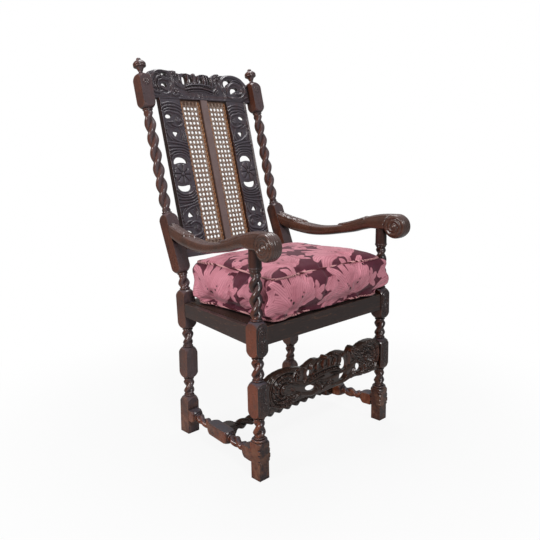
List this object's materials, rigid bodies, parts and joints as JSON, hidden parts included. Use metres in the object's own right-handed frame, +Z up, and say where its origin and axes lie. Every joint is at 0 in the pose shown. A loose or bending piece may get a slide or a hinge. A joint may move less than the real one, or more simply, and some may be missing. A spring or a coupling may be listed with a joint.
{
  "type": "high-back armchair",
  "caption": "High-backed open armchair with twist-turned posts, carved crest and stretcher, caned back and a loose box cushion.",
  "frame": {"origin": "on the floor, under the middle of the chair's bounding box", "axes": "+Z up; the chair faces -Y; +X is its right side seen from the front"},
  "size_m": [0.6414, 0.7262, 1.2718],
  "materials": {
    "dark_oak": "waxed dark oak, worn reddish brown on the edges",
    "worn_oak": "weathered grey-brown oak boards",
    "polished_oak": "polished warm brown oak",
    "cane": "aged orange-brown cane",
    "damask": "woven damask, pink leaves on burgundy"
  },
  "bodies": {
    "chair": {"arm_left": "polished_oak", "arm_right": "polished_oak", "back_bottom_rail": "dark_oak", "back_muntin": "dark_oak", "back_splat_left": "dark_oak", "back_splat_right": "dark_oak", "cane_binding_left": "cane", "cane_binding_right": "cane", "cane_panel_left": "cane", "cane_panel_right": "cane", "crest_rail": "dark_oak", "cross_stretcher": "dark_oak", "front_post_left": "dark_oak", "front_post_right": "dark_oak", "front_stretcher": "dark_oak", "rear_post_left": "dark_oak", "rear_post_right": "dark_oak", "seat_cane": "cane", "seat_rail_front": "worn_oak", "seat_rail_left": "worn_oak", "seat_rail_rear": "worn_oak", "seat_rail_right": "worn_oak", "side_stretcher_left": "dark_oak", "side_stretcher_right": "dark_oak"},
    "cushion": {"cushion": "damask"}
  },
  "joints": [
    {"name": "cushion_slide", "type": "slide", "parent": "chair", "child": "cushion", "axis": [0, -1, 0], "range_m": [0, 0.4]}
  ]
}
